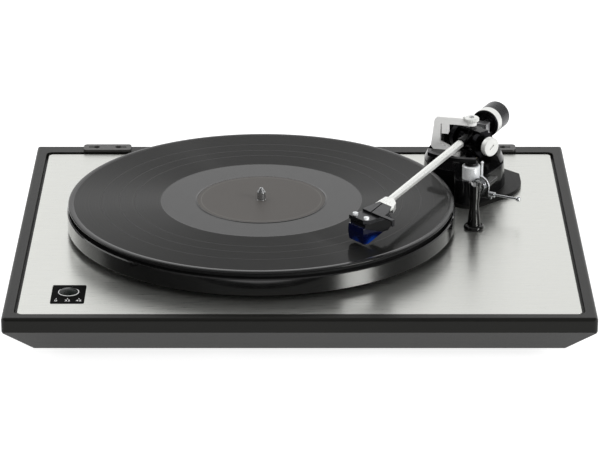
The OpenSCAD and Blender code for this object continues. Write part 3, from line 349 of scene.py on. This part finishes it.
# Vinyl of the run-out, the edge and the underside: smooth.
smooth_vinyl = Finish("vinyl", Specular_IOR_Level=0.3)
smooth_cloud = smooth_vinyl.noise(90)
smooth_vinyl.colour(smooth_cloud, tone(20), tone(25))
smooth_vinyl.rough(smooth_cloud, 0.16, 0.22)
smooth_vinyl.bump(smooth_vinyl.noise(700, detail=2), 0.003 * MM)

# Vinyl of the gaps between the tracks: narrow and smooth, and duller than the run-out.
gap_vinyl = Finish("vinyl_gaps", Specular_IOR_Level=0.1)
gap_cloud = gap_vinyl.noise(90)
gap_vinyl.colour(gap_cloud, tone(18), tone(23))
gap_vinyl.rough(gap_cloud, 0.2, 0.26)

# Grooved vinyl: it stretches the highlights outwards and varies with the music's loudness.
grooved_vinyl = Finish("vinyl_grooves", Anisotropic=1.0, Specular_IOR_Level=0.14,
                       Coat_Weight=0.22, Coat_Roughness=0.08)
grooved_vinyl.across_grooves(disc)
groove_noise = grooved_vinyl.add("ShaderNodeTexNoise", noise_dimensions="1D")
for socket, value in (("W", grooved_vinyl.distance(disc, from_axis=True)), ("Scale", 0.9),
                      ("Detail", 6), ("Roughness", 0.75)):
    grooved_vinyl.feed(groove_noise, socket, value)
loudness = groove_noise.outputs[0]
grooved_vinyl.colour(loudness, tone(9, 9, 8), tone(21, 21, 19))
grooved_vinyl.rough(loudness, 0.5, 0.64)
grooved_vinyl.bump(loudness, 0.05 * MM, strength=0.5)


# ---------------------------------------------------------------- pieces


def add_object(name, data):
    """An object of a mesh, curve, lamp or camera, in the scene."""
    made = bpy.data.objects.new(name, data)
    scene.collection.objects.link(made)
    return made


def add_mesh(name, shape):
    """An object of a bmesh, which it uses up."""
    mesh = bpy.data.meshes.new(name)
    shape.to_mesh(mesh)
    shape.free()
    return add_object(name, mesh)


def lathe(name, profile, centre, segments=288):
    """A closed solid of revolution: profile is (radius, height) pairs in millimetres."""
    shape = bmesh.new()
    rings = []
    for step in range(segments):
        turn = 2 * math.pi * step / segments
        rings.append([shape.verts.new((centre.x + r * MM * math.cos(turn),
                                       centre.y + r * MM * math.sin(turn), z * MM))
                      for r, z in profile])
    for step in range(segments):
        here, there = rings[step], rings[(step + 1) % segments]
        for k in range(len(profile)):
            m = (k + 1) % len(profile)
            shape.faces.new((here[k], there[k], there[m], here[m]))
    bmesh.ops.recalc_face_normals(shape, faces=shape.faces)
    for face in shape.faces:
        face.smooth = True
    return add_mesh(name, shape)


def bar(name, centre, size, finish):
    """A small bar with rounded edges; centre and size in metres."""
    shape = bmesh.new()
    bmesh.ops.create_cube(shape, size=1.0)
    for vert in shape.verts:
        vert.co = Vector(centre) + Vector([vert.co[k] * size[k] for k in range(3)])
    bmesh.ops.bevel(shape, geom=shape.edges[:], offset=min(size) * 0.3, segments=2,
                    affect="EDGES")
    piece = add_mesh(name, shape)
    piece.data.materials.append(finish.material)
    return piece


def held(profile, margin=0.05):
    """Adds points close to the ends of long stretches, so that smooth shading keeps them flat."""
    long_stretch = 0.5
    points = []
    for (r0, z0), (r1, z1) in zip(profile, profile[1:] + profile[:1]):
        points.append((r0, z0))
        length = math.hypot(r1 - r0, z1 - z0)
        if length > long_stretch:
            for share in (margin / length, 1 - margin / length):
                points.append((r0 + (r1 - r0) * share, z0 + (z1 - z0) * share))
    return points


# The record, pressed with a bead at its edge, grooved bands with gaps between the tracks, a
# run-out and a recess for the label. All its sizes are in millimetres.
disc_low, disc_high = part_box("record_disc")
disc_top = disc_high.z / MM
disc_base = disc_low.z / MM
disc_half = (disc_top + disc_base) / 2
disc_r = (disc_high.x - disc_low.x) / 2 / MM
hole_r = 3.64
recess_r = 50.2
recess_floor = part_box("record_label")[0].z / MM - 0.02
lip_r = 50.8  # a lip stands round the recess and then falls to the run-out
run_out_r = 51.6
run_out_top = disc_top - 0.3
groove_start = 78.8
groove_end = disc_r - 4.4
groove_top = run_out_top + 0.05
track_gaps = (99.0, 111.0, 125.0)
gap_foot = 0.6  # half a gap's width at its foot
gap_crest = 0.3  # half its width on top
gap_top = groove_top + 0.03
gap_reach = 0.35  # faces with their middle this close to a gap's middle are smooth
# Points as distances in from the edge: the bead's below the top, the edge's above mid-height.
bead_points = ((2.9, 0.03), (2.1, 0.0), (1.3, 0.03), (0.6, 0.15))
edge_points = ((0.15, 0.45), (0.0, 0.2), (0.0, -0.2), (0.15, -0.45))

profile = [(hole_r, recess_floor), (recess_r, recess_floor), (recess_r, disc_top),
           (lip_r, disc_top), (run_out_r, run_out_top), (groove_start - 0.6, run_out_top),
           (groove_start, groove_top)]
for gap_r in track_gaps:
    profile += [(gap_r - gap_foot, groove_top), (gap_r - gap_crest, gap_top),
                (gap_r + gap_crest, gap_top), (gap_r + gap_foot, groove_top)]
profile.append((groove_end, groove_top))
profile += [(disc_r - inset, disc_top - depth) for inset, depth in bead_points]
profile += [(disc_r - inset, disc_half + height) for inset, height in edge_points]
profile += [(disc_r - 0.6, disc_base + 0.15), (disc_r - 2.1, disc_base), (hole_r, disc_base)]

record = lathe("record_pressing", held(profile), disc)
SMOOTH, GROOVED, GAP = range(3)  # the order of its materials
for finish in (smooth_vinyl, grooved_vinyl, gap_vinyl):
    record.data.materials.append(finish.material)
for polygon in record.data.polygons:
    from_centre = polygon.center - Vector((disc.x, disc.y, 0))
    polygon_r = math.hypot(from_centre.x, from_centre.y) / MM
    if from_centre.z > disc_half * MM and groove_start < polygon_r < groove_end:
        in_gap = min(abs(polygon_r - gap_r) for gap_r in track_gaps) < gap_reach
        polygon.material_index = GAP if in_gap else GROOVED
    else:
        polygon.material_index = SMOOTH
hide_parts("record_disc")
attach(record, "platter")

# Figures and ticks printed on the switch panel, in millimetres from its middle.
ink = 0.02  # half the print's thickness
figure_height = 4.4
figure_y = -12.6
tick_y = -8.9
tick_width, tick_length = 0.5, 1.6
white_print = plain_plastic("print_white", tone(225), 0.6, edge=0.02, depth=0.01)
panel = middle("switch_panel")
print_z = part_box("switch_panel")[1].z + ink * MM
for print_x, figure in ((-8.5, "0"), (0.0, "33"), (8.5, "45")):
    letters = bpy.data.curves.new("figure_" + figure, "FONT")
    letters.body = figure
    letters.size = figure_height * MM
    letters.align_x = "CENTER"
    letters.align_y = "CENTER"
    letters.extrude = ink * MM
    letters.materials.append(white_print.material)
    printed = add_object("figure_" + figure, letters)
    printed.location = (panel.x + print_x * MM, panel.y + figure_y * MM, print_z)
    tick = bar("tick_" + figure, (panel.x + print_x * MM, panel.y + tick_y * MM, print_z),
               (tick_width * MM, tick_length * MM, 2 * ink * MM), white_print)
    for piece in (printed, tick):
        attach(piece, "plinth")


# ---------------------------------------------------------------- stage, light, camera


def ray_mask(graph, *rays):
    """1 for the named kinds of rays, 0 for the others."""
    path = graph.add("ShaderNodeLightPath")
    total = path.outputs[rays[0]]
    for ray in rays[1:]:
        total = graph.math("MAXIMUM", total, path.outputs[ray])
    return total


def mix_shaders(graph, mask, seen, unseen):
    """One shader where the mask is 1, the other where it is 0."""
    mix = graph.add("ShaderNodeMixShader")
    for index, value in enumerate((mask, unseen, seen)):
        graph.join(value, mix.inputs[index])
    return mix.outputs[0]


def background(graph, strength):
    """White light of a strength, which can be another node's output."""
    node = graph.add("ShaderNodeBackground")
    graph.feed(node, "Color", WHITE)
    graph.feed(node, "Strength", strength)
    return node.outputs[0]


# The room. The camera sees plain white and matt surfaces get a little less. What the player
# mirrors is bright low behind it, and dim in front, far to the sides and high up.
seen_level = 1.0
matt_level = 0.78
mirrored_fades = (("Z", 0.36, 0.8, 1.15, 0.4), ("Y", 0.0, 0.6, 0.2, 1.0),
                  ("X", -0.8, -0.15, 0.08, 1.0), ("X", 0.3, 0.9, 1.0, 0.6))
overhead_fade = ("Z", 0.7, 0.98, 0.0, 0.45)
world = bpy.data.worlds.new("studio")
scene.world = world
room = Graph(world)
towards = room.add("ShaderNodeSeparateXYZ")
room.join(room.add("ShaderNodeTexCoord").outputs["Generated"], towards.inputs[0])
*levels, overhead = [room.ramp(towards.outputs[axis], *numbers, smooth=True)
                     for axis, *numbers in (*mirrored_fades, overhead_fade)]
mirrored_level = levels[0]
for level in levels[1:]:
    mirrored_level = room.math("MULTIPLY", mirrored_level, level)
mirrored_level = room.math("MAXIMUM", mirrored_level, overhead)
unseen_room = mix_shaders(room, ray_mask(room, "Is Glossy Ray", "Is Transmission Ray"),
                          background(room, mirrored_level), background(room, matt_level))
whole_room = mix_shaders(room, ray_mask(room, "Is Camera Ray"), background(room, seen_level),
                         unseen_room)
room.join(whole_room, room.add("ShaderNodeOutputWorld").inputs[0])

# The floor: matt, with a glow that only the camera and mirror-like surfaces see, so that it
# looks white and still takes the player's shadow.
floor_half = 4.0  # metres
floor_tone = (0.45, 0.45, 0.45, 1)
floor_glow = 0.85
grid = bmesh.new()
bmesh.ops.create_grid(grid, x_segments=8, y_segments=8, size=floor_half)
floor = add_mesh("floor", grid)
floor_paint = bpy.data.materials.new("floor_white")
ground = Graph(floor_paint)
matt = ground.add("ShaderNodeBsdfDiffuse")
ground.feed(matt, "Color", floor_tone)
emission = ground.add("ShaderNodeEmission")
ground.feed(emission, "Strength", floor_glow)
glowing = ground.add("ShaderNodeAddShader")
ground.join(matt.outputs[0], glowing.inputs[0])
ground.join(emission.outputs[0], glowing.inputs[1])
floor_output = ground.add("ShaderNodeOutputMaterial")
seen = ray_mask(ground, "Is Camera Ray", "Is Glossy Ray", "Is Transmission Ray")
ground.join(mix_shaders(ground, seen, glowing.outputs[0], matt.outputs[0]), floor_output.inputs[0])
floor.data.materials.append(floor_paint)


def softbox(name, place, target, side, watts):
    """A soft square lamp turned towards a point, unseen by the camera."""
    lamp = bpy.data.lights.new(name, "AREA")
    lamp.shape = "RECTANGLE"
    lamp.size = side
    lamp.size_y = side
    lamp.energy = watts
    holder = add_object(name, lamp)
    holder.location = place
    holder.rotation_euler = (Vector(target) - Vector(place)).to_track_quat("-Z", "Y").to_euler()
    holder.visible_camera = False


softbox("back_left", place=(-1.18, 0.76, 1.28), target=(0, 0, 0.05), side=1.4, watts=9)
softbox("right", place=(1.25, -0.86, 0.62), target=(0, 0, 0.04), side=0.5, watts=10.5)

# The camera: in front of the player, looking slightly down through a long lens.
elevation = math.radians(21.52)
distance = 2.569
aim = Vector((0.0003, 0.0034, 0.043))
camera_data = bpy.data.cameras.new("camera")
camera_data.lens = 196.3
camera_data.sensor_width = 36
camera_data.clip_end = 50
camera = add_object("camera", camera_data)
camera.location = aim + Vector((0, -math.cos(elevation), math.sin(elevation))) * distance
camera.rotation_euler = (math.pi / 2 - elevation, 0, 0)
scene.camera = camera
